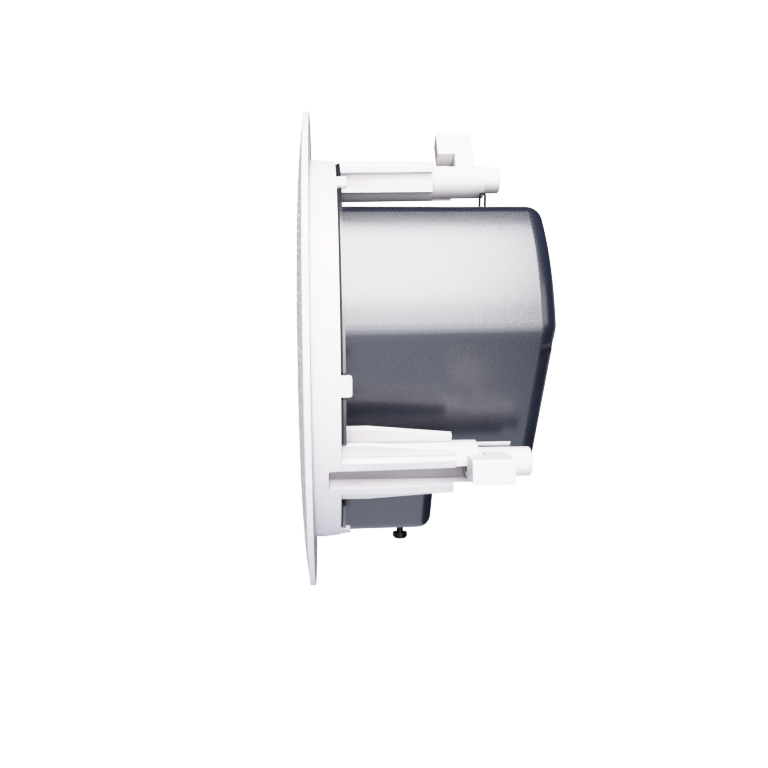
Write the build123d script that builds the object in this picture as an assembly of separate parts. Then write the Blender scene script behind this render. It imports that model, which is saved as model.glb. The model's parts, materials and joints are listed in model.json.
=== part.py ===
from build123d import *
import os
from math import radians, tan

# Flush ceiling loudspeaker with a steel back can.
# Millimetres, +Z up into the ceiling void, origin on the speaker axis
# in the plane where the flange meets the ceiling board.

os.makedirs("parts", exist_ok=True)

# general clearances
RUN = 0.05              # radial gap of turning and sliding fits
SIT = 0.15              # gap between pieces that only sit in one another

# flange
flange_radius = 118.0
flange_lip_depth = 2.7  # front of the narrow lip around the grille
flange_lip_width = 1.4
flange_lip_edge = 0.35  # chamfer of the outer edge
flange_plate = 1.6      # plate behind the grille
gasket_depth = 0.7

# collar
collar_root_radius = 95.0
collar_end_radius = 94.2
collar_band = 4.5       # true cylinder next to the flange, then mould draft
collar_height = 12.1
collar_wall = 2.4

# foam ring in the back of the flange, across part of its width
flange_width = flange_radius - collar_root_radius
gasket_inner = collar_root_radius + 0.11 * flange_width
gasket_outer = collar_root_radius + 0.41 * flange_width

# baffle inside the collar
baffle_front = 3.0
baffle_thickness = 3.0

# grille
grille_gap = 0.2
grille_thickness = 0.8
grille_edge = 2.75      # depth of its front at the rim
grille_depth = 6.5      # depth of its front on the axis
grille_power = 5        # nearly flat in the middle, rounded to the rim
grille_profile_points = 9
magnet_radius = 4.0
magnet_count = 6

# clamp posts
post_angles = (90.0, 210.0, 330.0)
post_circle = collar_end_radius - 10.2
post_base_radius = 9.7
post_top_radius = 8.7
post_bore = 6.8
post_base_top = 60.8
post_sill = 70.8        # lower edge of the side window
post_top = 86.5
post_window_back = 5.5  # how far behind the screw the window is cut
channel_half = 5.35     # half width of the slot the clamp arm runs in
channel_floor = 6.7
lip_half = 9.6
lip_reach_base = 10.3
lip_reach_end = 8.8
fin_top = 60.0
fin_kink = 23.5
fin_inner_at = -4.5     # place of the two fin pairs, measured outwards
fin_inner_thickness = 2.9
fin_inner_reach = 16.8
fin_inner_end = 12.6
fin_outer_at = 4.9
fin_outer_thickness = 2.2
fin_outer_reach = 16.0
fin_outer_end = 12.6
boss_radius = 3.5
boss_top = 10.4

# clamp screw, threaded bush and swing clamp
screw_radius = 2.4
screw_head_radius = 4.4
screw_head_height = 2.6
screw_tip = 92.6
cross_width = 1.1
cross_length = 5.0
cross_depth = 1.5
bush_radius = 4.3
bush_bottom = 67.4
bush_length = 24.0
hub_radius = 6.4
hub_bottom = 66.6
hub_top = 94.6
hub_mouth = 2.9
arm_reach = 28.0
arm_half = 5.05
arm_bottom = 73.3
arm_top = 82.3
foot_inner = 13.9
foot_bottom = 64.8
clamp_turn = -36.0      # rest angle, from pointing straight outwards
clamp_edge = 0.5

# snap tabs over the can's hem
tab_after_post = 30.0
tab_before_post = 27.4
tab_half = 4.5
tab_top = 16.7
tab_thickness = 1.9
tab_corner = 1.2

# back can
can_wall = 1.2
can_lobe = collar_end_radius - 2.4
can_flat = post_circle - 14.1
can_corner = 10.0
can_draft = 1.0
can_back = 102.5
can_back_edge = 7.5
can_step = can_lobe - 39.8      # wall between the can and the wiring space
can_step_edge = 5.0
hem_radius = collar_end_radius - 0.4
hem_bottom = 13.0
hem_thickness = 1.2
hem_post_half = 18.6
hem_tab_half = 5.7
seal_width = 2.0
notch_width = 6.4
notch_depth = 1.6
notch_along = -48.6     # place along each flat

# wiring cover over the shallow lobe
cover_wall = 1.0
cover_top = 57.2
cover_edge = 6.5
cover_gap = 0.4
cover_screw_angle = 261.0
cover_screw_height = 43.0
cover_screw_radius = 1.65
cover_screw_head = 3.55
cover_screw_head_height = 3.3
cover_screw_stand = 2.8
cover_screw_length = 9.0
bracket_width = 14.0
bracket_thickness = 1.5
bracket_gap = 0.3
grommet_angle = 279.0
grommet_height = 38.0
grommet_hole = 5.0
grommet_radius = 7.5
grommet_flange = 10.0
grommet_proud = 1.6

# wiring terminals
terminal_poles = 4
terminal_pitch = 7.6
terminal_depth = 16.0
terminal_height = 18.0
terminal_wire_hole = 1.9
terminal_screw_hole = 2.0
terminal_y = -can_step - 14.0

# safety eye on the can
eye_wire = 0.55
eye_half = 1.3
eye_offset = 12.0
eye_height = 84.4
eye_stand = 8.0

# woofer
woofer_radius = round(0.6263 * collar_end_radius, 1)
woofer_hole = woofer_radius - 8.0
woofer_gasket = 0.8
basket_sheet = 1.2
basket_neck = woofer_radius - 9.6
basket_seat = 36.0
basket_seat_z = 30.0
basket_windows = 4
basket_window_angle = 52.0
top_plate_radius = 38.0
top_plate_thickness = 5.0
gap_radius = 20.4
pole_radius = 18.6
ferrite_radius = 42.0
ferrite_bore = 24.0
ferrite_thickness = 14.0
back_plate_thickness = 5.0
coil_inner = 19.1
coil_former = 0.3
coil_wire = 0.45
coil_top = 23.0
coil_bottom = 44.0
coil_height = 9.0
cone_outer = woofer_radius - 15.0
cone_front = 4.2
cone_paper = 0.8
surround_outer = woofer_radius - 8.4
surround_skin = 0.7
spider_outer = 34.6
spider_z = 26.4
spider_skin = 0.6
woofer_screws = 4
woofer_screw_circle = woofer_radius - 4.4
woofer_screw_radius = 1.75
woofer_screw_head = 3.4

# tweeter on the pole
stem_radius = 6.0
tweeter_radius = 16.0
tweeter_front = -3.6
tweeter_depth = 10.0
tweeter_dome = 9.6
tweeter_wall = 2.0

# power tap switch, reached from the front
tap_angle = 30.0
tap_circle = collar_end_radius - 18.2
tap_body = 12.0
tap_body_depth = 14.0
tap_shaft = 3.0
tap_knob_radius = 7.0
tap_knob_height = 4.6

# reflex port
port_angle = 150.0
port_circle = collar_end_radius - 19.2
port_bore = 10.5
port_wall = 1.8
port_length = 38.0

# transformer and crossover on the can's back
core_x, core_y, core_z = 42.0, 30.0, 35.0
core_place = (-30.0, 14.0)
core_bobbin = 25.0
strap_sheet = 1.2
strap_ear = 10.0
board_x, board_y = 58.0, 44.0
board_place = (32.0, 8.0)
board_thickness = 1.6
board_stand = 7.0
post_of_board = 2.5
cap_radius = 6.5
cap_length = 24.0
coil_radius = 13.0
coil_core = 4.0
coil_length = 14.0
pad_thickness = 5.0
pad_low = 52.0
pad_high = 86.0
pad_half = 24.0


def save(shape, node):
    export_step(shape, f"parts/{node}.step")


def ring(outer, inner, low, high):
    return Pos(0, 0, low) * extrude(Circle(outer) - Circle(inner), high - low)


def disc(radius, low, high):
    return Pos(0, 0, low) * extrude(Circle(radius), high - low)


def block(x0, x1, y0, y1, z0, z1):
    return Pos((x0 + x1) / 2, (y0 + y1) / 2, (z0 + z1) / 2) * Box(
        x1 - x0, y1 - y0, z1 - z0)


def turned(points):
    return revolve(Plane.XZ * make_face(Polyline(*points, close=True)), Axis.Z)


def about_axis(angle, shape):
    return Rot(0, 0, angle) * shape


def at_post(angle, shape):
    return Rot(0, 0, angle) * Pos(post_circle, 0, 0) * shape


def side_plate(points, low, high):
    # outline drawn along the radius and up, thickness along the tangent
    face = Plane.XZ * make_face(Polyline(*points, close=True))
    return Pos(0, high, 0) * extrude(face, high - low)


def cross_plate(points, low, high):
    # outline drawn along the tangent and up, thickness along the radius
    face = Plane.YZ * make_face(Polyline(*points, close=True))
    return Pos(low, 0, 0) * extrude(face, high - low)


baffle_back = baffle_front + baffle_thickness
collar_inner = collar_end_radius - collar_wall
lip_inner = flange_radius - flange_lip_width
grille_radius = lip_inner - grille_gap
magnet_circle = (collar_inner + lip_inner) / 2 - 1.0
hem_top = hem_bottom + hem_thickness


# one moulding: flange, collar, baffle, posts and snap tabs
flange = turned([
    (collar_inner, 0), (flange_radius, 0),
    (flange_radius, -flange_lip_depth + flange_lip_edge),
    (flange_radius - flange_lip_edge, -flange_lip_depth),
    (lip_inner, -flange_lip_depth),
    (lip_inner, -flange_plate), (collar_inner, -flange_plate)])
collar = turned([
    (collar_inner, -flange_plate), (collar_root_radius, -flange_plate),
    (collar_root_radius, collar_band),
    (collar_end_radius, collar_height), (collar_inner, collar_height)])
baffle = ring(collar_inner + 0.5, woofer_hole, baffle_front, baffle_back)
frame = flange + collar + baffle
frame -= ring(gasket_outer, gasket_inner, -gasket_depth, 1)


def post():
    body = disc(post_base_radius, baffle_front, post_base_top)
    body += disc(post_base_radius, post_base_top, post_sill) & block(
        -20, 20, -20, 0, 0, post_sill)
    body += disc(post_top_radius, baffle_front, post_top)
    reach = [(0, baffle_front), (lip_reach_base, baffle_front),
             (lip_reach_base, collar_height), (lip_reach_end, post_base_top),
             (0, post_base_top)]
    body += side_plate(reach, -lip_half, lip_half) & (
        Pos(-post_circle, 0, 0) * disc(collar_end_radius + 0.1, 0, post_top))
    for at, thick, wide, end in (
            (fin_inner_at, fin_inner_thickness, fin_inner_reach, fin_inner_end),
            (fin_outer_at, fin_outer_thickness, fin_outer_reach, fin_outer_end)):
        fin = [(-wide, baffle_front), (wide, baffle_front), (wide, fin_kink),
               (end, fin_top), (-end, fin_top), (-wide, fin_kink)]
        body += cross_plate(fin, at - thick / 2, at + thick / 2) & (
            Pos(-post_circle, 0, 0) * disc(collar_inner + 1, 0, post_top))
    return body


def post_cuts():
    cuts = disc(post_bore, channel_floor, post_top + 5)
    cuts += block(0, 20, -channel_half, channel_half, channel_floor,
                  post_top + 5)
    cuts += block(-post_window_back, 20, -20, 0, post_sill, post_top + 5)
    return cuts


screw_hole = screw_radius + RUN
for angle in post_angles:
    frame += at_post(angle, post())
for angle in post_angles:
    frame -= at_post(angle, post_cuts())
for angle in post_angles:
    frame += at_post(angle, disc(boss_radius, baffle_back, boss_top))
    frame -= at_post(angle, disc(screw_hole, 0, boss_top + 1))

tab_angles = []
for angle in post_angles:
    tab_angles += [angle + tab_after_post, angle - tab_before_post]
tab_inner = collar_end_radius + 0.1 - tab_thickness
for angle in tab_angles:
    face = make_face(Polyline(
        (-tab_half, collar_height - 4), (tab_half, collar_height - 4),
        (tab_half, tab_top), (-tab_half, tab_top), close=True))
    tops = face.vertices().sort_by(Axis.Y)[-2:]
    tab = Plane.YZ * fillet(tops, tab_corner)
    tab = Pos(tab_inner - 3, 0, 0) * extrude(tab, 12)
    tab &= ring(collar_end_radius + 0.1, tab_inner, 0, tab_top + 1)
    frame += about_axis(angle, tab)

frame -= about_axis(tap_angle, Pos(tap_circle, 0, 0) * disc(
    tap_shaft + RUN, 0, baffle_back + 1))
frame -= about_axis(port_angle, Pos(port_circle, 0, 0) * disc(
    port_bore, 0, baffle_back + 1))
for i in range(woofer_screws):
    frame -= about_axis(45 + 360 / woofer_screws * i, Pos(
        woofer_screw_circle, 0, 0) * disc(woofer_screw_radius, 0, baffle_back + 1))
save(frame, "bezel_frame")

# foam ring let into the back of the flange
save(ring(gasket_outer - SIT, gasket_inner + SIT, -gasket_depth, 0),
     "ceiling_gasket")

# domed grille, a plain sheet here
def grille_front(radius):
    fall = (radius / grille_radius) ** grille_power
    return -grille_depth + (grille_depth - grille_edge) * fall


def grille_line(lift):
    spots = [grille_radius * (i / grille_profile_points) ** 0.7
             for i in range(grille_profile_points + 1)]
    slope = (grille_depth - grille_edge) * grille_power / grille_radius
    return Spline(*[(r, grille_front(r) + lift) for r in spots],
                  tangents=[(1, 0), (1, slope)])


grille_section = make_face(
    grille_line(0) + grille_line(grille_thickness)
    + Line((0, -grille_depth), (0, -grille_depth + grille_thickness))
    + Line((grille_radius, -grille_edge),
           (grille_radius, -grille_edge + grille_thickness)))
sheet = revolve(Plane.XZ * grille_section, Axis.Z)
skirt = ring(grille_radius, grille_radius - grille_thickness,
             -grille_edge + 0.05, -flange_plate)
save(sheet + skirt, "grille")

# magnets on the flange plate hold the grille
magnet_reach = magnet_circle + magnet_radius
magnet_front = grille_front(magnet_reach) + grille_thickness + SIT
magnets = [about_axis(30 + 360 / magnet_count * i, Pos(
    magnet_circle, 0, 0) * disc(magnet_radius, magnet_front, -flange_plate))
    for i in range(magnet_count)]
save(Compound(children=magnets), "grille_magnets")


# clamp screws, bushes and clamps
def clamp_screw():
    s = disc(screw_radius, baffle_front, screw_tip - 1)
    s += Pos(0, 0, screw_tip - 0.5) * Cone(screw_radius, screw_radius - 1, 1)
    head = disc(screw_head_radius, baffle_front - screw_head_height,
                baffle_front)
    head = fillet(head.edges().group_by(Axis.Z)[0], 1.0)
    low = baffle_front - screw_head_height
    head -= block(-cross_length / 2, cross_length / 2, -cross_width / 2,
                  cross_width / 2, low - 1, low + cross_depth)
    head -= block(-cross_width / 2, cross_width / 2, -cross_length / 2,
                  cross_length / 2, low - 1, low + cross_depth)
    return s + head


def bush():
    return ring(bush_radius, screw_hole, bush_bottom, bush_bottom + bush_length)


def clamp():
    arm = side_plate([
        (0, arm_bottom), (foot_inner, arm_bottom), (foot_inner, foot_bottom),
        (arm_reach, foot_bottom), (arm_reach, arm_top), (0, arm_top)],
        -arm_half, arm_half)
    arm = fillet(arm.edges().filter_by(
        lambda e: e.center().X > foot_inner + 0.2 and e.center().Z < arm_top - 0.1),
                 clamp_edge)
    hub = disc(hub_radius, hub_bottom, hub_top)
    hub = fillet(hub.edges().group_by(Axis.Z)[-1], 0.8)
    body = hub + arm
    body -= disc(bush_radius + RUN, hub_bottom - 1,
                 bush_bottom + bush_length + RUN)
    body -= disc(hub_mouth, hub_bottom, hub_top + 1)
    return body


for i, angle in enumerate(post_angles, 1):
    save(at_post(angle, clamp_screw()), f"clamp_screw_{i}")
    save(at_post(angle, bush()), f"clamp_bush_{i}")
    save(at_post(angle, Rot(0, 0, clamp_turn) * clamp()), f"clamp_{i}")


# back can: three lobes between the posts, a flat facing each post
def lobed(inset):
    outline = Circle(can_lobe - inset)
    for a in post_angles:
        outline -= Rot(0, 0, a) * Pos(can_flat - inset + 60, 0) * Rectangle(
            120, 300)
    return fillet(outline.vertices(), can_corner - inset)


def can_core(inset, top):
    core = extrude(Pos(0, 0, hem_bottom) * lobed(inset), top - hem_bottom,
                   taper=can_draft)
    return core


def can_solid(inset, back_edge):
    core = can_core(inset, can_back - inset)
    core -= block(-200, 200, -200, -can_step + inset, 0, 200)
    uprights = core.edges().filter_by(
        lambda e: abs(e.center().Y + can_step - inset) < 0.5
        and abs(e.tangent_at(0.5).Z) > 0.9)
    core = fillet(uprights, can_step_edge)
    rim = core.edges().group_by(Axis.Z)[-1]
    return fillet(rim, back_edge)


can_inner = can_solid(can_wall, can_back_edge + 3.0)
can = can_solid(0, can_back_edge) - can_inner
hem = disc(hem_radius, hem_bottom, hem_top) - can_inner
for angle in post_angles:
    hem -= about_axis(angle, block(can_flat + 3.4, 120, -hem_post_half,
                                   hem_post_half, 0, 40))
for angle in tab_angles:
    hem -= about_axis(angle, block(can_lobe - 0.02, 120, -hem_tab_half,
                                   hem_tab_half, 0, 40))
can += hem
edge_at = can_flat - (can_back - hem_bottom) * tan(radians(can_draft))
for angle in post_angles:
    can -= about_axis(angle, Pos(
        edge_at - can_back_edge, notch_along, can_back - can_back_edge) * Rot(
        0, 45, 0) * Pos(0, 0, can_back_edge - notch_depth + 3) * Box(
        12, notch_width, 6))
save(can, "back_can")

# seal between the collar and the can's hem
seal = ring(collar_end_radius - 0.9, collar_end_radius - 0.9 - seal_width,
            collar_height, hem_bottom)
for angle in post_angles:
    seal -= about_axis(angle, block(60, 120, -hem_post_half, hem_post_half,
                                    0, 40))
for angle in tab_angles:
    seal -= about_axis(angle, block(60, 120, -hem_tab_half, hem_tab_half,
                                    0, 40))
save(seal, "can_seal")


# wiring cover over the shallow lobe
def cover_solid(inset):
    core = can_core(inset, cover_top - inset)
    core &= block(-200, 200, -200, -can_step - cover_gap, hem_top, 200)
    rim = [e for e in core.edges().group_by(Axis.Z)[-1]
           if abs(e.center().Y + can_step + cover_gap) > 0.5]
    return fillet(rim, cover_edge - inset)


cover = cover_solid(0) - cover_solid(cover_wall)


def radial(angle, height, shape):
    # shape drawn along +Z, laid outwards along the radius
    return Rot(0, 0, angle) * Pos(0, 0, height) * Rot(0, 90, 0) * shape


cover -= radial(cover_screw_angle, cover_screw_height,
                disc(cover_screw_radius + SIT, can_lobe - 12, can_lobe + 8))
cover -= radial(grommet_angle, grommet_height,
                disc(grommet_radius, can_lobe - 12, can_lobe + 8))
save(cover, "wiring_cover")


def can_radius(z):
    return can_lobe - (z - hem_bottom) * tan(radians(can_draft))


# bracket behind the cover that takes its screw
inner_face = can_radius(cover_screw_height) - cover_wall - bracket_gap
bracket = about_axis(cover_screw_angle, block(
    inner_face - bracket_thickness - 0.6, inner_face - 0.6, -bracket_width / 2,
    bracket_width / 2, hem_top, cover_screw_height + 6))
bracket += about_axis(cover_screw_angle, block(
    inner_face - 14, inner_face - 0.6, -bracket_width / 2, bracket_width / 2,
    hem_top, hem_top + bracket_thickness))
bracket -= radial(cover_screw_angle, cover_screw_height,
                  disc(cover_screw_radius, can_lobe - 22, can_lobe + 8))
save(bracket, "cover_bracket")

# cover screw, standing partly out as supplied
head_at = can_radius(cover_screw_height) + cover_screw_stand
screw = disc(cover_screw_radius, head_at - cover_screw_length, head_at)
head = disc(cover_screw_head, head_at, head_at + cover_screw_head_height)
head = fillet(head.edges().group_by(Axis.Z)[-1], 0.9)
head -= block(-2.2, 2.2, -0.5, 0.5, head_at + 2, head_at + 5)
head -= block(-0.5, 0.5, -2.2, 2.2, head_at + 2, head_at + 5)
save(radial(cover_screw_angle, cover_screw_height, screw + head),
     "cover_screw")

# cable grommet in the cover
wall_at = can_radius(grommet_height)
grommet = ring(grommet_radius - SIT, grommet_hole, wall_at - 4,
               wall_at + grommet_proud)
grommet += ring(grommet_flange, grommet_hole, wall_at + 0.6,
                wall_at + grommet_proud)
save(radial(grommet_angle, grommet_height, grommet), "cable_grommet")

# wiring terminals
half = terminal_poles * terminal_pitch / 2
terminals = block(-half, half, terminal_y - terminal_depth / 2,
                  terminal_y + terminal_depth / 2, hem_top,
                  hem_top + terminal_height)
terminal_screws = []
for i in range(terminal_poles):
    x = -half + terminal_pitch * (i + 0.5)
    terminals -= Pos(x, terminal_y - terminal_depth / 2 + 4,
                     hem_top + 6) * Rot(90, 0, 0) * Cylinder(
        terminal_wire_hole, 9)
    terminals -= Pos(x, terminal_y, 0) * disc(
        terminal_screw_hole, hem_top + 8, hem_top + terminal_height + 1)
    pin = disc(terminal_screw_hole - SIT, hem_top + 8,
               hem_top + terminal_height - 3)
    pin -= block(-3, 3, -0.4, 0.4, hem_top + terminal_height - 4,
                 hem_top + terminal_height)
    terminal_screws.append(Pos(x, terminal_y, 0) * pin)
save(terminals, "terminal_block")
save(Compound(children=terminal_screws), "terminal_screws")

# wire eye on the flat beside the first post
flat_at = can_flat - (eye_height - hem_bottom) * tan(radians(can_draft))
path = Polyline((0, -eye_half), (eye_stand - eye_half, -eye_half)) + \
    ThreePointArc((eye_stand - eye_half, -eye_half), (eye_stand, 0),
                  (eye_stand - eye_half, eye_half)) + \
    Polyline((eye_stand - eye_half, eye_half), (0, eye_half))
path = Plane.XZ * path
eye = sweep(Plane(origin=(0, 0, -eye_half), z_dir=(1, 0, 0)) * Circle(eye_wire),
            path=path)
foot = Pos(0.4, 0, 0) * Box(0.8, 5, 8)
save(about_axis(post_angles[0], Pos(flat_at, eye_offset, eye_height) * Rot(
    0, -can_draft, 0) * (foot + Pos(0.4, 0, 0) * eye)), "safety_eye")

# woofer
screw_angles = [45 + 360 / woofer_screws * i for i in range(woofer_screws)]
soft_ring = ring(woofer_radius, woofer_hole, baffle_front - woofer_gasket,
                 baffle_front)
for angle in screw_angles:
    soft_ring -= about_axis(angle, Pos(woofer_screw_circle, 0, 0) * disc(
        woofer_screw_radius + SIT, 0, 4))
save(soft_ring, "woofer_gasket")
flange_back = baffle_front - woofer_gasket
flange_front = flange_back - basket_sheet
basket = turned([
    (woofer_radius, flange_front), (woofer_radius, flange_back),
    (basket_neck + basket_sheet, flange_back),
    (basket_seat + 4, basket_seat_z - 6), (basket_seat + 4, basket_seat_z),
    (gap_radius + 6, basket_seat_z), (gap_radius + 6, basket_seat_z - basket_sheet),
    (basket_seat + 4 - basket_sheet, basket_seat_z - basket_sheet),
    (basket_seat + 4 - basket_sheet, basket_seat_z - 6),
    (basket_neck, flange_back), (basket_neck, flange_front)])
basket += ring(basket_seat + 3.4, spider_outer, spider_z - 0.3 + spider_skin,
               basket_seat_z - basket_sheet)
window_reach = woofer_radius + 11
for i in range(basket_windows):
    wedge = Pos(0, 0, 8) * extrude(make_face(Polyline(
        (10, 10 * -0.48), (window_reach, window_reach * -0.48),
        (window_reach, window_reach * 0.48), (10, 10 * 0.48), close=True)), 14)
    basket -= about_axis(45 + 360 / basket_windows * i, wedge - disc(
        30, 0, 60))
for i in range(woofer_screws):
    basket -= about_axis(45 + 360 / woofer_screws * i, Pos(
        woofer_screw_circle, 0, 0) * disc(woofer_screw_radius + SIT, 0, 4))
save(basket, "woofer_basket")

plate_back = basket_seat_z + top_plate_thickness
ferrite_back = plate_back + ferrite_thickness
motor_back = ferrite_back + back_plate_thickness
save(ring(top_plate_radius, gap_radius, basket_seat_z, plate_back), "top_plate")
save(ring(ferrite_radius, ferrite_bore, plate_back, ferrite_back),
     "ferrite_magnet")
yoke = disc(top_plate_radius, ferrite_back, motor_back)
yoke += disc(pole_radius, basket_seat_z, ferrite_back)
yoke = yoke - disc(2.0, 0, 100)
save(yoke, "pole_yoke")

former = ring(coil_inner + coil_former, coil_inner, coil_top, coil_bottom)
save(former, "voice_coil_former")
gap_mid = basket_seat_z + top_plate_thickness / 2
save(ring(coil_inner + coil_former + coil_wire, coil_inner + coil_former,
          gap_mid - coil_height / 2, gap_mid + coil_height / 2), "voice_coil")
neck = coil_inner + coil_former
save(turned([
    (neck, coil_top + 0.8), (cone_outer, cone_front),
    (cone_outer + 2.4, cone_front), (cone_outer + 2.4, cone_front - cone_paper),
    (cone_outer - 0.6, cone_front - cone_paper),
    (neck, coil_top + 0.8 - cone_paper * 1.7)]), "woofer_cone")

roll_mid = (cone_outer + 2.4 + basket_neck + 0.6) / 2
roll_half = (basket_neck + 0.6 - cone_outer - 2.4) / 2
roll_low = flange_front
surround = revolve(Plane.XZ * (
    (Pos(roll_mid, roll_low) * (Circle(roll_half) - Circle(
        roll_half - surround_skin)) & Pos(roll_mid, roll_low - 10) * Rectangle(
        20, 20))), Axis.Z)
surround += ring(surround_outer, basket_neck - 0.4,
                 roll_low - surround_skin, roll_low)
surround += turned([
    (cone_outer + 0.6, cone_front - cone_paper), (cone_outer + 2.4 + surround_skin,
     cone_front - cone_paper), (cone_outer + 2.4 + surround_skin, roll_low),
    (cone_outer + 2.4, roll_low), (cone_outer + 2.4, cone_front - cone_paper
     - surround_skin), (cone_outer + 0.6, cone_front - cone_paper - surround_skin)])
save(surround, "cone_surround")
wave = []
steps = 8
inner = coil_inner + coil_former
for i in range(steps + 1):
    r = inner + (spider_outer - inner) * i / steps
    wave.append((r, spider_z + (0.9 if i % 2 else -0.3)))
wave.append((spider_outer + 2, spider_z - 0.3))
save(turned(wave + [(r, z + spider_skin) for r, z in reversed(wave)]), "spider")
screws = []
for i in range(woofer_screws):
    s = disc(woofer_screw_radius, flange_front, baffle_back + 4)
    h = disc(woofer_screw_head, flange_front - 2.2, flange_front)
    h = fillet(h.edges().group_by(Axis.Z)[0], 0.8)
    h -= block(-2.2, 2.2, -0.5, 0.5, flange_front - 3, flange_front - 1.2)
    h -= block(-0.5, 0.5, -2.2, 2.2, flange_front - 3, flange_front - 1.2)
    screws.append(about_axis(45 + 360 / woofer_screws * i, Pos(
        woofer_screw_circle, 0, 0) * (s + h)))
save(Compound(children=screws), "woofer_screws")

# tweeter on a stem from the pole
tweeter_back = tweeter_front + tweeter_depth
stem = disc(stem_radius, tweeter_back, basket_seat_z) - disc(
    2.0, tweeter_back - 1, basket_seat_z + 1)
save(stem, "tweeter_stem")
shell = disc(tweeter_radius, tweeter_front, tweeter_back)
shell = fillet(shell.edges().group_by(Axis.Z)[0], 1.2)
shell = fillet(shell.edges().group_by(Axis.Z)[-1], 2.0)
shell -= disc(tweeter_dome + 1.4, tweeter_front - 1, tweeter_back - tweeter_wall)
shell -= Pos(0, 0, tweeter_front + 1) * Cone(
    tweeter_radius - 2.5, tweeter_dome + 1.4, 2)
save(shell, "tweeter_shell")
cap_r = (tweeter_dome ** 2 + 3.2 ** 2) / (2 * 3.2)
dome_back = tweeter_back - tweeter_wall
dome_low = dome_back - 3.0
tdome = (Pos(0, 0, dome_low - 3.2 + cap_r) * Sphere(cap_r)) & disc(
    tweeter_dome + 1.4 - SIT, dome_low - 4, dome_low)
tdome += ring(tweeter_dome + 1.4 - SIT, tweeter_dome - 1, dome_low, dome_back)
save(tdome, "tweeter_dome")

# power tap switch
tap = Pos(0, 0, baffle_back + tap_body_depth / 2) * Box(
    2 * tap_body, 2 * tap_body, tap_body_depth)
tap = fillet(tap.edges().filter_by(Axis.Z), 2)
tap -= disc(tap_shaft + RUN, 0, baffle_back + tap_body_depth - 2)
save(about_axis(tap_angle, Pos(tap_circle, 0, 0) * tap), "tap_switch")
knob = disc(tap_knob_radius, baffle_front - tap_knob_height,
            baffle_front - 0.3)
knob = fillet(knob.edges().group_by(Axis.Z)[0], 0.8)
knob += disc(tap_shaft, baffle_front - 1, baffle_back + tap_body_depth - 3)
knob -= block(-5.5, 5.5, -0.6, 0.6, baffle_front - tap_knob_height - 1,
              baffle_front - tap_knob_height + 1.6)
save(about_axis(tap_angle, Pos(tap_circle, 0, 0) * knob), "tap_knob")

# reflex port through the baffle
port = ring(port_bore + port_wall, port_bore - port_wall, baffle_back,
            baffle_back + port_length)
port += ring(port_bore - SIT, port_bore - port_wall, baffle_front,
             baffle_back)
save(about_axis(port_angle, Pos(port_circle, 0, 0) * port), "reflex_port")

# transformer on the can's back
back_inside = can_back - can_wall
cx, cy = core_place
core = block(cx - core_x / 2, cx + core_x / 2, cy - core_y / 2,
             cy + core_y / 2, back_inside - core_z, back_inside)
window = block(cx - core_x / 2 + 7, cx - 7, cy - core_y, cy + core_y,
               back_inside - core_z + 7, back_inside - 7)
window += block(cx + 7, cx + core_x / 2 - 7, cy - core_y, cy + core_y,
                back_inside - core_z + 7, back_inside - 7)
core -= window
save(core, "transformer_core")
winding = block(cx - core_x / 2 + 7, cx + core_x / 2 - 7, cy - core_bobbin,
                cy + core_bobbin, back_inside - core_z + 7, back_inside - 7)
winding -= block(cx - 7, cx + 7, cy - core_y / 2, cy + core_y / 2,
                 back_inside - core_z, back_inside)
winding = fillet(winding.edges().filter_by(Axis.Z).filter_by(
    lambda e: abs(abs(e.center().Y - cy) - core_bobbin) < 0.5), 4)
save(winding, "transformer_winding")

# crossover board on four posts, parts hang from its front
bx, by = board_place
board_back = back_inside - board_stand
board_front = board_back - board_thickness
board = block(bx - board_x / 2, bx + board_x / 2, by - board_y / 2,
              by + board_y / 2, board_front, board_back)
board = fillet(board.edges().filter_by(Axis.Z), 2)
save(board, "crossover_board")
stands = []
for sx in (-1, 1):
    for sy in (-1, 1):
        stands.append(Pos(bx + sx * (board_x / 2 - 5),
                          by + sy * (board_y / 2 - 5), 0) * disc(
            post_of_board, board_back, back_inside))
save(Compound(children=stands), "board_stands")
caps = []
for dy in (-12, 4):
    caps.append(Pos(bx + 16, by + dy, board_front - cap_radius) * Rot(
        0, 90, 0) * Cylinder(cap_radius, cap_length))
save(Compound(children=caps), "crossover_capacitors")
choke = ring(coil_radius, coil_core, board_front - coil_length + 1.5,
             board_front - 1.5)
spool = ring(coil_core, 2, board_front - coil_length, board_front)
spool += ring(coil_radius + 1, 2, board_front - 1.5, board_front)
spool += ring(coil_radius + 1, 2, board_front - coil_length,
              board_front - coil_length + 1.5)
save(Pos(bx - 13, by + 4, 0) * spool, "choke_bobbin")
save(Pos(bx - 13, by + 4, 0) * choke, "choke_winding")

# felt pads on the inside of the two full lobes
pad = can_core(can_wall, pad_high) - can_core(can_wall + pad_thickness,
                                              pad_high + 1)
pads = [pad & about_axis(post_angles[0] + side * 60, block(
    0, 200, -pad_half, pad_half, pad_low, pad_high)) for side in (-1, 1)]
save(Compound(children=pads), "damping_pads")
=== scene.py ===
import bpy
import json
from math import cos, pi, radians, sin, sqrt
from mathutils import Matrix, Vector


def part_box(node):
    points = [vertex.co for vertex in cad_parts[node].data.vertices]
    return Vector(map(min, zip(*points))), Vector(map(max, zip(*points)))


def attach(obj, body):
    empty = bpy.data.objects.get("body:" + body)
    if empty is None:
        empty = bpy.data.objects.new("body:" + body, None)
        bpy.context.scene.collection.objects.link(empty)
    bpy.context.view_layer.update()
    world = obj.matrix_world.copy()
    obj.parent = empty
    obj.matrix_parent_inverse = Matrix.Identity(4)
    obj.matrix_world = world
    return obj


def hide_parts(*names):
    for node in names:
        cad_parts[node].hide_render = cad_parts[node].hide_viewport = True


# Ceiling speaker: finishes, the perforated grille and threaded screws.
# Metres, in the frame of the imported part.

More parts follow.
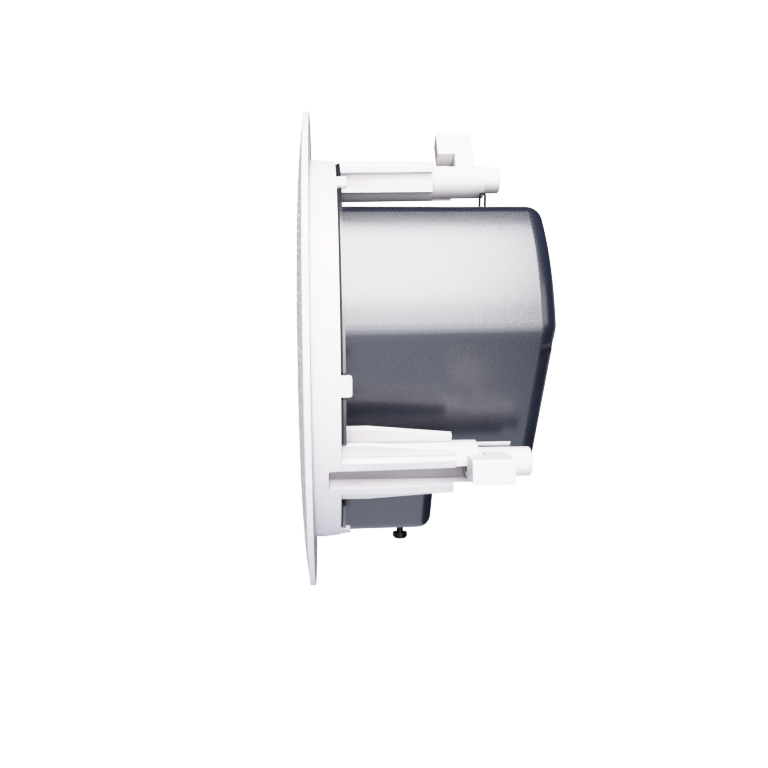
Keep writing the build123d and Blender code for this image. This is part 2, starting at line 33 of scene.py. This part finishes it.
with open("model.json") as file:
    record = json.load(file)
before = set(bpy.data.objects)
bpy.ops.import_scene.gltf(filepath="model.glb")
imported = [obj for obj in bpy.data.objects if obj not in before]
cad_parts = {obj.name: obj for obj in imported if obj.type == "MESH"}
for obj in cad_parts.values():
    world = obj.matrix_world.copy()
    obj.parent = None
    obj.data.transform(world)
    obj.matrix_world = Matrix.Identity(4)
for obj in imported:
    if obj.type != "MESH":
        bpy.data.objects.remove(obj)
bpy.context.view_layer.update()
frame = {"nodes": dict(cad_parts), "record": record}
nodes = frame["nodes"]

MM = 0.001

# soft edges of the moulding, and painted shade that darkens its inner corners
edge_samples = 4
painted_shade_samples = 6
# colour of the painted shade in inner corners
painted_crease_shade = (0.42, 0.43, 0.48)
# one band of a wave texture at a scale of 1
band_length = 0.314


# materials
def node_tree(name):
    mat = bpy.data.materials.new(name)
    mat.use_nodes = True
    tree = mat.node_tree
    return mat, tree, tree.nodes["Principled BSDF"]


def noise(tree, scale):
    coord = tree.nodes.new("ShaderNodeTexCoord")
    tex = tree.nodes.new("ShaderNodeTexNoise")
    tex.inputs["Scale"].default_value = scale
    tree.links.new(coord.outputs["Object"], tex.inputs["Vector"])
    return tex


def mix_colours(tree, bsdf, tex, dark, light, low=0.35, high=0.65):
    ramp = tree.nodes.new("ShaderNodeValToRGB")
    ramp.color_ramp.elements[0].position = low
    ramp.color_ramp.elements[1].position = high
    ramp.color_ramp.elements[0].color = (*dark, 1)
    ramp.color_ramp.elements[1].color = (*light, 1)
    tree.links.new(tex.outputs["Fac"], ramp.inputs["Fac"])
    tree.links.new(ramp.outputs["Color"], bsdf.inputs["Base Color"])


def rough_range(tree, bsdf, tex, low, high):
    span = tree.nodes.new("ShaderNodeMapRange")
    span.inputs["To Min"].default_value = low
    span.inputs["To Max"].default_value = high
    tree.links.new(tex.outputs["Fac"], span.inputs["Value"])
    tree.links.new(span.outputs["Result"], bsdf.inputs["Roughness"])


def bump(tree, bsdf, tex, strength, distance, edge=0.0):
    relief = tree.nodes.new("ShaderNodeBump")
    relief.inputs["Strength"].default_value = strength
    relief.inputs["Distance"].default_value = distance
    tree.links.new(tex.outputs["Fac"], relief.inputs["Height"])
    if edge:
        soft = tree.nodes.new("ShaderNodeBevel")
        soft.samples = edge_samples
        soft.inputs["Radius"].default_value = edge
        tree.links.new(soft.outputs["Normal"], relief.inputs["Normal"])
    tree.links.new(relief.outputs["Normal"], bsdf.inputs["Normal"])


def paint_crease_shade(tree, bsdf, reach):
    # painted shade: darkens the base colour in inner corners by ambient
    # occlusion
    colour = bsdf.inputs["Base Color"].links[0].from_socket
    painted_shade_ao = tree.nodes.new("ShaderNodeAmbientOcclusion")
    painted_shade_ao.samples = painted_shade_samples
    painted_shade_ao.inputs["Distance"].default_value = reach
    mix = tree.nodes.new("ShaderNodeMix")
    mix.data_type = "RGBA"
    mix.blend_type = "MULTIPLY"
    mix.inputs["B"].default_value = (*painted_crease_shade, 1)
    invert = tree.nodes.new("ShaderNodeMath")
    invert.operation = "SUBTRACT"
    invert.inputs[0].default_value = 1.0
    tree.links.new(painted_shade_ao.outputs["AO"], invert.inputs[1])
    tree.links.new(invert.outputs["Value"], mix.inputs["Factor"])
    tree.links.new(colour, mix.inputs["A"])
    tree.links.new(mix.outputs["Result"], bsdf.inputs["Base Color"])


def finish(name, dark, light, rough, metal=0.0, grain=900, strength=0.1,
           depth=0.00005, patch=40, edge=0.0, sheen=0.0, stretch=None,
           ior=1.5, painted_shade_reach=None):
    # two tones in broad patches, under a fine grain in gloss and relief, and
    # painted shade in inner corners where a reach is given
    mat, tree, bsdf = node_tree(name)
    bsdf.inputs["Metallic"].default_value = metal
    bsdf.inputs["Sheen Weight"].default_value = sheen
    bsdf.inputs["IOR"].default_value = ior
    mix_colours(tree, bsdf, noise(tree, patch), dark, light)
    fine = noise(tree, grain)
    if stretch:
        place = tree.nodes.new("ShaderNodeMapping")
        place.inputs["Scale"].default_value = stretch
        source = fine.inputs["Vector"].links[0].from_socket
        tree.links.new(source, place.inputs["Vector"])
        tree.links.new(place.outputs["Vector"], fine.inputs["Vector"])
    rough_range(tree, bsdf, fine, *rough)
    bump(tree, bsdf, fine, strength, depth, edge)
    # painted shade in the inner corners
    if painted_shade_reach:
        paint_crease_shade(tree, bsdf, painted_shade_reach)
    return mat


def wound(name, dark, light, pitch, axis, rough, metal):
    # threads or wires side by side
    mat, tree, bsdf = node_tree(name)
    bsdf.inputs["Metallic"].default_value = metal
    bsdf.inputs["Roughness"].default_value = rough
    coord = tree.nodes.new("ShaderNodeTexCoord")
    wave = tree.nodes.new("ShaderNodeTexWave")
    wave.bands_direction = axis
    wave.inputs["Scale"].default_value = band_length / pitch
    wave.inputs["Distortion"].default_value = 0.4
    tree.links.new(coord.outputs["Object"], wave.inputs["Vector"])
    mix_colours(tree, bsdf, wave, dark, light, 0.2, 0.8)
    bump(tree, bsdf, wave, strength=0.8, distance=0.0002)
    return mat


# white moulding, with painted shade in its inner corners
moulded_white = finish("moulded_white", (0.87, 0.84, 0.86),
                       (0.91, 0.88, 0.90), (0.36, 0.46), grain=1400,
                       strength=0.12, depth=0.00003, patch=18,
                       edge=0.00035, painted_shade_reach=0.0014)
coated_white = finish("coated_white_steel", (0.88, 0.85, 0.87),
                      (0.91, 0.88, 0.90), (0.40, 0.52), grain=2200,
                      strength=0.2, depth=0.00004, patch=25)
can_coat = finish("can_powder_coat", (0.011, 0.014, 0.030),
                  (0.015, 0.019, 0.039), (0.23, 0.33), grain=2600,
                  strength=0.35, depth=0.00006, patch=30, ior=2.15)
foam_white = finish("white_foam", (0.55, 0.55, 0.55), (0.72, 0.72, 0.72),
                    (0.8, 0.95), grain=1800, strength=0.8, depth=0.0002,
                    patch=900)
foam_grey = finish("grey_foam", (0.03, 0.03, 0.03), (0.07, 0.07, 0.07),
                   (0.8, 0.95), grain=1800, strength=0.8, depth=0.0002,
                   patch=900)
soft_black = finish("black_rubber", (0.008, 0.008, 0.009),
                    (0.02, 0.02, 0.021), (0.55, 0.75), grain=1200,
                    strength=0.2, depth=0.00005, patch=60)
oxide_black = finish("black_oxide", (0.012, 0.012, 0.014),
                     (0.03, 0.03, 0.034), (0.28, 0.42), metal=0.9,
                     grain=1500, strength=0.1, patch=200)
zinc = finish("zinc_plate", (0.52, 0.52, 0.54), (0.66, 0.66, 0.67),
              (0.26, 0.42), metal=1.0, grain=1300, strength=0.12, patch=120)
bush_brass = finish("bush_brass", (0.55, 0.38, 0.14), (0.68, 0.50, 0.22),
                    (0.24, 0.38), metal=1.0, grain=1500, strength=0.1,
                    patch=150, stretch=(0.15, 0.15, 3))
nickel = finish("magnet_nickel", (0.60, 0.60, 0.60), (0.72, 0.71, 0.70),
                (0.15, 0.28), metal=1.0, grain=900, strength=0.05, patch=90)
basket_black = finish("basket_coat", (0.015, 0.015, 0.016),
                      (0.035, 0.035, 0.037), (0.35, 0.5), grain=2400,
                      strength=0.3, patch=80)
bare_iron = finish("plated_iron", (0.40, 0.40, 0.42), (0.55, 0.55, 0.56),
                   (0.3, 0.5), metal=1.0, grain=1100, strength=0.2,
                   patch=90, stretch=(3, 0.3, 1))
ferrite = finish("ferrite", (0.02, 0.02, 0.022), (0.045, 0.045, 0.05),
                 (0.55, 0.75), grain=1600, strength=0.4, patch=300)
black_plastic = finish("black_moulding", (0.010, 0.010, 0.011),
                       (0.022, 0.022, 0.024), (0.38, 0.5), grain=1500,
                       strength=0.15, patch=50, edge=0.0002)
pulp = finish("coated_pulp", (0.008, 0.008, 0.009), (0.03, 0.03, 0.032),
              (0.6, 0.85), grain=700, strength=0.9, depth=0.00025,
              patch=500)
spider_cloth = wound("spider_cloth", (0.30, 0.16, 0.05), (0.52, 0.32, 0.12),
                     0.0006, "DIAGONAL", 0.8, 0.0)
foil = finish("coil_foil", (0.6, 0.6, 0.6), (0.75, 0.75, 0.75), (0.25, 0.4),
              metal=1.0, grain=900, strength=0.1, patch=100)
copper = wound("enamelled_wire", (0.28, 0.09, 0.03), (0.62, 0.27, 0.12),
               0.0008, "Z", 0.28, 1.0)
tape = finish("winding_tape", (0.62, 0.45, 0.06), (0.75, 0.58, 0.12),
              (0.3, 0.45), grain=700, strength=0.2, patch=60)
silk = finish("coated_silk", (0.02, 0.02, 0.025), (0.05, 0.05, 0.06),
              (0.4, 0.6), grain=2600, strength=0.5, patch=200, sheen=0.4)
board_green = finish("board_mask", (0.02, 0.12, 0.05), (0.03, 0.17, 0.07),
                     (0.25, 0.4), grain=600, strength=0.1, patch=250)
sleeve = finish("capacitor_sleeve", (0.02, 0.03, 0.12), (0.03, 0.045, 0.17),
                (0.22, 0.36), grain=500, strength=0.1, patch=80)
felt = finish("felt", (0.22, 0.22, 0.21), (0.38, 0.38, 0.37), (0.9, 1.0),
              grain=1100, strength=1.0, depth=0.0005, patch=700, sheen=0.5)

slot_finish = {
    "white_plastic": moulded_white, "white_steel": coated_white,
    "can_paint": can_coat, "white_foam": foam_white,
    "black_rubber": soft_black, "dark_zinc": oxide_black, "zinc_steel": zinc,
    "brass": bush_brass, "magnet_plate": nickel, "basket_paint": basket_black,
    "bare_iron": bare_iron, "ferrite": ferrite,
    "black_plastic": black_plastic, "grey_foam": foam_grey,
    "black_paper": pulp, "amber_cloth": spider_cloth, "coil_former": foil,
    "copper_wire": copper, "winding_tape": tape, "silk": silk,
    "board": board_green, "cap_sleeve": sleeve, "felt": felt}
# pieces darker than the rest of their slot
own_finish = {"safety_eye": oxide_black}
for part in frame["record"]["subparts"]:
    piece = nodes[part["node"]]
    mat = own_finish.get(part["node"], slot_finish[part["material_slot"]])
    if piece.material_slots:
        for place in piece.material_slots:
            place.material = mat
    else:
        piece.data.materials.append(mat)


# modelling helpers
def deselect():
    if bpy.context.object and bpy.context.object.mode != "OBJECT":
        bpy.ops.object.mode_set(mode="OBJECT")
    bpy.ops.object.select_all(action="DESELECT")


def only(obj):
    deselect()
    obj.select_set(True)
    bpy.context.view_layer.objects.active = obj


def edit(obj):
    only(obj)
    bpy.ops.object.mode_set(mode="EDIT")
    bpy.ops.mesh.select_all(action="SELECT")


def pick(obj, kind, test):
    # selects the vertices or faces whose place passes the test
    bpy.ops.mesh.select_mode(type=kind)
    bpy.ops.mesh.select_all(action="DESELECT")
    bpy.ops.object.mode_set(mode="OBJECT")
    for item in (obj.data.vertices if kind == "VERT" else obj.data.polygons):
        place = item.co if kind == "VERT" else item.center
        item.select = test(place)
    bpy.ops.object.mode_set(mode="EDIT")


def extrude(height):
    bpy.ops.mesh.extrude_region_move(
        TRANSFORM_OT_translate={"value": (0, 0, height)})


def face_outwards():
    bpy.ops.mesh.select_all(action="SELECT")
    bpy.ops.mesh.normals_make_consistent(inside=False)


def settle(obj):
    only(obj)
    bpy.ops.object.transform_apply(location=True, rotation=True, scale=True)


def apply(obj, modifier):
    only(obj)
    bpy.ops.object.modifier_apply(modifier=modifier.name)


def smooth(obj, angle):
    only(obj)
    bpy.ops.object.shade_smooth_by_angle(angle=radians(angle))


def remove(obj):
    only(obj)
    bpy.ops.object.delete()


def join(first, *others):
    only(first)
    for obj in others:
        obj.select_set(True)
    bpy.ops.object.join()


def copy_of(obj, name):
    only(obj)
    bpy.ops.object.duplicate()
    twin = bpy.context.object
    twin.name = name
    return twin


def seat(obj, place, turn):
    obj.rotation_euler = turn
    obj.location = place
    settle(obj)


# perforated steel grille, drawn flat and then pressed over a turned die
low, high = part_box("grille")
grille_radius = (high[0] - low[0]) / 2
grille_apex = low[2]
skirt_end = high[2]
grille_fall = 3.75 * MM
grille_power = 5
sheet_thickness = 0.8 * MM
hole_pitch = 3.6 * MM
hole_row = hole_pitch * sqrt(3)
hole_radius = 0.90 * MM
hole_corners = 8
hole_field = grille_radius - 5.0 * MM
weld_reach = 0.03 * MM
shortest_cell_side = 1.5 * MM
rim_corners = 240
rim_start = grille_radius - 1.8 * MM
rim_flat = grille_radius - 0.5 * MM
# the rounded edge: inwards from the radius, and backwards, in millimetres
rim_curve = ((0.2, 0.07), (0.05, 0.22), (0.0, 0.45))
die_radii = [reach * MM for reach in (
    30, 48, 60, 70, 78, 85, 91, 96, 100.5, 104.5, 108, 111, 113.5, 116)]


def front_height(reach):
    return grille_apex + grille_fall * (reach / grille_radius) ** grille_power


def from_axis(place):
    return sqrt(place.x ** 2 + place.y ** 2)


def ring_out(radii, heights):
    # draws the selected ring outwards, step by step
    reach, level = radii[0], heights[0]
    for radius, height in zip(radii[1:], heights[1:]):
        extrude(height - level)
        bpy.ops.transform.resize(
            value=(radius / reach, radius / reach, 1),
            center_override=(0, 0, height))
        reach, level = radius, height


def press_die():
    deselect()
    bpy.ops.mesh.primitive_circle_add(
        vertices=rim_corners, radius=die_radii[0], fill_type="TRIFAN",
        location=(0, 0, front_height(die_radii[0])))
    die = bpy.context.object
    settle(die)
    edit(die)
    pick(die, "VERT", lambda p: from_axis(p) > die_radii[0] - 0.1 * MM)
    bpy.ops.mesh.select_mode(type="EDGE")
    ring_out(die_radii, [front_height(reach) for reach in die_radii])
    bpy.ops.object.mode_set(mode="OBJECT")
    return die


def beyond_holes(place):
    # true where the nearest hole lies outside the field of holes
    best = None
    for shift in (0.0, 0.5):
        x = (round(place.x / hole_pitch - shift) + shift) * hole_pitch
        y = (round(place.y / hole_row - shift) + shift) * hole_row
        off = (place.x - x) ** 2 + (place.y - y) ** 2
        if best is None or off < best[0]:
            best = (off, sqrt(x * x + y * y))
    return best[1] > hole_field - hole_radius


def sheet_of_holes():
    # one six-sided cell with its hole, repeated over the whole disc
    deselect()
    bpy.ops.mesh.primitive_circle_add(
        vertices=6, radius=hole_pitch / sqrt(3))
    sheet = bpy.context.object
    sheet.name = "perforated_grille"
    edit(sheet)
    bpy.ops.mesh.primitive_circle_add(
        vertices=hole_corners, radius=hole_radius)
    bpy.ops.mesh.select_all(action="SELECT")
    bpy.ops.mesh.bridge_edge_loops()
    bpy.ops.object.mode_set(mode="OBJECT")
    across = 2 * int(grille_radius / hole_pitch + 1) + 1
    along = 2 * int(grille_radius / hole_row + 1) + 1
    for count, step in ((across, (hole_pitch, 0, 0)),
                        (along, (0, hole_row, 0)),
                        (2, (hole_pitch / 2, hole_row / 2, 0))):
        rows = sheet.modifiers.new("rows", "ARRAY")
        rows.use_relative_offset = False
        rows.use_constant_offset = True
        rows.constant_offset_displace = step
        rows.count = count
        apply(sheet, rows)
    edit(sheet)
    bpy.ops.transform.translate(value=(
        -hole_pitch * (across // 2), -hole_row * (along // 2), 0))
    pick(sheet, "FACE", beyond_holes)
    bpy.ops.mesh.delete(type="FACE")
    bpy.ops.mesh.select_all(action="SELECT")
    bpy.ops.mesh.remove_doubles(threshold=weld_reach)
    return sheet


def add_plain_border(sheet):
    # fills in between the outermost cells and the rim
    bpy.ops.mesh.select_mode(type="EDGE")
    bpy.ops.mesh.primitive_circle_add(vertices=rim_corners, radius=rim_start)
    bpy.ops.object.mode_set(mode="OBJECT")
    used = {}
    for face in sheet.data.polygons:
        for key in face.edge_keys:
            used[key] = used.get(key, 0) + 1
    points = sheet.data.vertices
    for edge in sheet.data.edges:
        a, b = (points[i].co for i in edge.vertices)
        rim = edge.key not in used
        outline = (used.get(edge.key) == 1
                   and (a - b).length > shortest_cell_side)
        edge.select = rim or outline
    bpy.ops.object.mode_set(mode="EDIT")
    bpy.ops.mesh.fill(use_beauty=True)
    settle(sheet)


def press_to_front(sheet):
    die = press_die()
    press = sheet.modifiers.new("press", "SHRINKWRAP")
    press.target = die
    press.wrap_method = "PROJECT"
    press.use_project_z = True
    press.use_negative_direction = True
    press.use_positive_direction = True
    apply(sheet, press)
    remove(die)


def add_rim_and_wall(sheet):
    # rounded edge and skirt, then the sheet's thickness inwards
    edit(sheet)
    pick(sheet, "VERT", lambda p: from_axis(p) > rim_start - 0.02 * MM)
    bpy.ops.mesh.select_mode(type="EDGE")
    edge_level = front_height(grille_radius)
    radii = [rim_start, rim_flat]
    heights = [front_height(reach) for reach in radii]
    radii += [grille_radius - inset * MM for inset, back in rim_curve]
    heights += [edge_level + back * MM for inset, back in rim_curve]
    ring_out(radii + [grille_radius], heights + [skirt_end])
    face_outwards()
    bpy.ops.object.mode_set(mode="OBJECT")
    if sum(face.normal.z * face.area for face in sheet.data.polygons) > 0:
        edit(sheet)
        bpy.ops.mesh.flip_normals()
        bpy.ops.object.mode_set(mode="OBJECT")
    wall = sheet.modifiers.new("wall", "SOLIDIFY")
    wall.thickness = sheet_thickness
    wall.offset = -1
    apply(sheet, wall)
    smooth(sheet, 50)


grille = sheet_of_holes()
add_plain_border(grille)
press_to_front(grille)
add_rim_and_wall(grille)
grille.data.materials.append(coated_white)
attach(grille, "housing")
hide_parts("grille")

# cross-recessed screws with real threads, drawn head up on the Z axis
ridge_sunk = 0.1 * MM     # how far a thread reaches into its core
ridge_root = 0.86         # width of its foot and of its crest, of the pitch
ridge_crest = 0.2
point_taper = 0.6
unthreaded_turns = 1.6    # at the point and under the head together
recess_taper = (0.55, 0.8, 1)


def screw_core(name, root, pitch, length):
    deselect()
    bpy.ops.mesh.primitive_cylinder_add(
        vertices=24, radius=root, depth=length - pitch,
        location=(0, 0, -(length - pitch) / 2))
    core = bpy.context.object
    core.name = name
    settle(core)
    edit(core)
    pick(core, "FACE", lambda p: p.z < -length + 1.5 * pitch)
    extrude(-pitch)
    bpy.ops.transform.resize(value=(point_taper, point_taper, 1),
                             center_override=(0, 0, -length))
    return core


def screw_thread(shank, root, pitch, length):
    # one section of the ridge, wound up the core
    middle = (root + shank - ridge_sunk) / 2
    first_turn = -length + pitch
    deselect()
    bpy.ops.mesh.primitive_plane_add(
        size=1, location=(middle, 0, 0), rotation=(radians(90), 0, 0))
    ridge = bpy.context.object
    settle(ridge)
    edit(ridge)
    bpy.ops.transform.resize(
        value=(shank - root + ridge_sunk, 1, pitch * ridge_root),
        center_override=(middle, 0, 0))
    bpy.ops.transform.translate(value=(0, 0, first_turn))
    pick(ridge, "VERT", lambda p: p.x > root + 0.02 * MM)
    bpy.ops.transform.resize(
        value=(1, 1, ridge_crest), center_override=(0, 0, first_turn))
    bpy.ops.mesh.select_all(action="SELECT")
    bpy.ops.mesh.delete(type="ONLY_FACE")
    bpy.ops.object.mode_set(mode="OBJECT")
    helix = ridge.modifiers.new("helix", "SCREW")
    helix.axis = "Z"
    helix.angle = radians(360)
    helix.screw_offset = pitch
    helix.iterations = int(length / pitch - unthreaded_turns)
    helix.steps = helix.render_steps = 16
    apply(ridge, helix)
    edit(ridge)
    bpy.ops.mesh.fill_holes(sides=4)
    face_outwards()
    return ridge


def screw_head(neck, neck_length, head, head_height, edge):
    # rounded at its edge, with the plain neck below it
    deselect()
    bpy.ops.mesh.primitive_cylinder_add(
        vertices=40, radius=head, depth=head_height,
        location=(0, 0, head_height / 2))
    cap = bpy.context.object
    settle(cap)
    edit(cap)
    pick(cap, "FACE", lambda p: p.z > head_height - 0.01 * MM)
    bpy.ops.mesh.bevel(offset=edge, segments=6, affect="EDGES")
    pick(cap, "FACE", lambda p: p.z < 0.01 * MM)
    bpy.ops.mesh.inset(thickness=head - neck)
    extrude(-neck_length)
    return cap


def cut_recess(cap, head_height, slot_half, slot_width, slot_depth):
    # a cross of two tapered blades, taken out of the head
    deselect()
    bpy.ops.mesh.primitive_cube_add(
        size=1, location=(0, 0, head_height),
        scale=(2 * slot_half, slot_width, 2 * slot_depth))
    cross = bpy.context.object
    settle(cross)
    edit(cross)
    pick(cross, "VERT", lambda p: p.z < head_height)
    bpy.ops.transform.resize(
        value=recess_taper, center_override=(0, 0, head_height - slot_depth))
    bpy.ops.mesh.select_all(action="SELECT")
    bpy.ops.mesh.duplicate()
    bpy.ops.transform.rotate(value=radians(90), orient_axis="Z",
                             center_override=(0, 0, head_height))
    face_outwards()
    deselect()
    recess = cap.modifiers.new("recess", "BOOLEAN")
    recess.operation = "DIFFERENCE"
    recess.solver = "EXACT"
    recess.use_self = True
    recess.object = cross
    apply(cap, recess)
    remove(cross)


def threaded_screw(name, shank, root, pitch, length, neck, neck_length,
                   head, head_height, edge, slot_half, slot_width,
                   slot_depth):
    core = screw_core(name, root, pitch, length)
    ridge = screw_thread(shank, root, pitch, length)
    cap = screw_head(neck, neck_length, head, head_height, edge)
    cut_recess(cap, head_height, slot_half, slot_width, slot_depth)
    join(core, ridge, cap)
    smooth(core, 32)
    return core


# clamp screws, with their heads seated on the baffle
clamp_head_level = 3 * MM
post_places = []
for number in (1, 2, 3):
    low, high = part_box(f"clamp_screw_{number}")
    post_places.append(((low[0] + high[0]) / 2, (low[1] + high[1]) / 2,
                        clamp_head_level))
first = threaded_screw(
    "threaded_screw_1", shank=2.4 * MM, root=1.85 * MM, pitch=1.6 * MM,
    length=89.6 * MM, neck=2.4 * MM, neck_length=1.2 * MM, head=4.4 * MM,
    head_height=2.6 * MM, edge=1.0 * MM, slot_half=2.5 * MM,
    slot_width=1.1 * MM, slot_depth=1.5 * MM)
clamp_screws = [first] + [copy_of(first, f"threaded_screw_{number}")
                          for number in (2, 3)]
for number, (screw, place) in enumerate(zip(clamp_screws, post_places), 1):
    seat(screw, place, (radians(180), 0, 0))
    screw.data.materials.append(zinc)
    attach(screw, f"screw_{number}")
    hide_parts(f"clamp_screw_{number}")

# screw of the wiring cover, standing partly out of its hole
cover_screw_angle = radians(261)
cover_screw_stand = 94.8 * MM
cover_screw_level = 43 * MM
cover_screw = threaded_screw(
    "standing_screw", shank=1.65 * MM, root=1.3 * MM, pitch=0.8 * MM,
    length=9.8 * MM, neck=1.7 * MM, neck_length=2.2 * MM, head=3.7 * MM,
    head_height=3.3 * MM, edge=1.9 * MM, slot_half=2.0 * MM,
    slot_width=0.9 * MM, slot_depth=1.2 * MM)
seat(cover_screw,
     (cover_screw_stand * cos(cover_screw_angle),
      cover_screw_stand * sin(cover_screw_angle), cover_screw_level),
     (0, radians(90), cover_screw_angle))
cover_screw.data.materials.append(oxide_black)
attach(cover_screw, "housing")
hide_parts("cover_screw")

# floor, well below the speaker
floor_radius = 1.1
floor_level = -0.62
deselect()
bpy.ops.mesh.primitive_circle_add(
    vertices=128, radius=floor_radius, fill_type="NGON",
    location=(0, 0, floor_level))
floor = bpy.context.object
floor.name = "floor"
pale = finish("pale_floor", (0.78, 0.78, 0.78), (0.82, 0.82, 0.82),
              (0.6, 0.8), grain=60, strength=0.02, patch=3)
floor.data.materials.append(pale)

# the picture's directions: the speaker lies on its side, room to the left
view_angle = radians(172.97)
upward_angle = view_angle - radians(90)
roll = radians(0.861)
toward = Vector((cos(view_angle), sin(view_angle), 0))
upward = Vector((cos(upward_angle), sin(upward_angle), 0))
along = Vector((0, 0, 1))
right = cos(roll) * along - sin(roll) * upward
up = sin(roll) * along + cos(roll) * upward


def softbox(name, angle, tilt, distance, width, height, radiance, colour):
    # angle is counted from straight up in the picture towards the camera,
    # tilt towards the back of the speaker
    flat = cos(radians(angle)) * upward + sin(radians(angle)) * toward
    way = cos(radians(tilt)) * flat + sin(radians(tilt)) * along
    lamp = bpy.data.lights.new(name, "AREA")
    lamp.shape = "RECTANGLE"
    lamp.size = width
    lamp.size_y = height
    lamp.energy = radiance * pi * width * height
    lamp.color = colour
    obj = bpy.data.objects.new(name, lamp)
    bpy.context.scene.collection.objects.link(obj)
    back = way.normalized()
    side = along.cross(back).normalized()
    top = back.cross(side)
    place = Matrix((side, top, back)).transposed().to_4x4()
    place.translation = way * distance
    obj.matrix_world = place


softbox("key", 39.8, 5, 1.0, 0.96, 0.60, 8.5, (1.0, 0.985, 0.985))
softbox("key_low", 75.5, 6, 1.0, 0.371, 0.58, 4.8, (1.0, 0.985, 0.985))
softbox("bridge", 94, 9, 1.0, 0.281, 0.50, 4.4, (1.0, 0.985, 0.99))
softbox("bridge_low", 112, 9, 1.0, 0.353, 0.48, 3.0, (0.98, 0.98, 1.05))
softbox("fill_near", 137, 4, 1.1, 0.59, 0.7, 1.15, (0.93, 0.96, 1.10))
softbox("fill_below", 193, 0, 1.2, 2.09, 1.0, 1.0, (0.90, 0.95, 1.12))
softbox("front", 150, -76, 1.0, 0.9, 0.8, 3.9, (1.0, 0.99, 1.0))
softbox("edge", 70, 40, 1.0, 0.5, 0.35, 1.7, (0.97, 0.98, 1.0))
softbox("rear", -95, 45, 1.2, 0.6, 1.0, 0.5, (1.0, 1.0, 1.0))

# brightness that the picture shows as white, and the white behind it all
white_level = 2.2
backdrop = 1.1 * white_level
room_colour = (0.86, 0.90, 1.0)
room_light = 0.03

world = bpy.data.worlds.new("studio")
bpy.context.scene.world = world
world.use_nodes = True
tree = world.node_tree
dim = tree.nodes["Background"]
dim.inputs["Color"].default_value = (*room_colour, 1)
dim.inputs["Strength"].default_value = room_light
plain = tree.nodes.new("ShaderNodeBackground")
plain.inputs["Color"].default_value = (1, 1, 1, 1)
plain.inputs["Strength"].default_value = backdrop
ray = tree.nodes.new("ShaderNodeLightPath")
either = tree.nodes.new("ShaderNodeMixShader")
tree.links.new(ray.outputs["Is Camera Ray"], either.inputs["Fac"])
tree.links.new(dim.outputs["Background"], either.inputs[1])
tree.links.new(plain.outputs["Background"], either.inputs[2])
tree.links.new(either.outputs["Shader"],
               tree.nodes["World Output"].inputs["Surface"])

# plain tone, with a soft shoulder that keeps the shapes of the whites
tone = bpy.context.scene.view_settings
tone.view_transform = "Standard"
tone.use_curve_mapping = True
tone.curve_mapping.white_level = (white_level,) * 3
shoulder = tone.curve_mapping.curves[3]
for bright, shown in ((0.35, 0.35), (0.60, 0.60), (0.75, 0.71), (0.90, 0.785),
                      (1.05, 0.84), (1.25, 0.888), (1.50, 0.922),
                      (1.85, 0.945), (2.14, 0.965)):
    shoulder.points.new(bright / white_level, shown)
tone.curve_mapping.update()

# camera, a little behind the back of the flange
camera_distance = 432.8 * MM
camera_height = 5.34 * MM
data = bpy.data.cameras.new("camera")
data.lens = 39.20
data.sensor_width = 36
data.shift_x = 0.0784
data.shift_y = -0.0465
camera = bpy.data.objects.new("camera", data)
bpy.context.scene.collection.objects.link(camera)
pose = Matrix((right, up, toward)).transposed().to_4x4()
pose.translation = toward * camera_distance + along * camera_height
camera.matrix_world = pose
bpy.context.scene.camera = camera
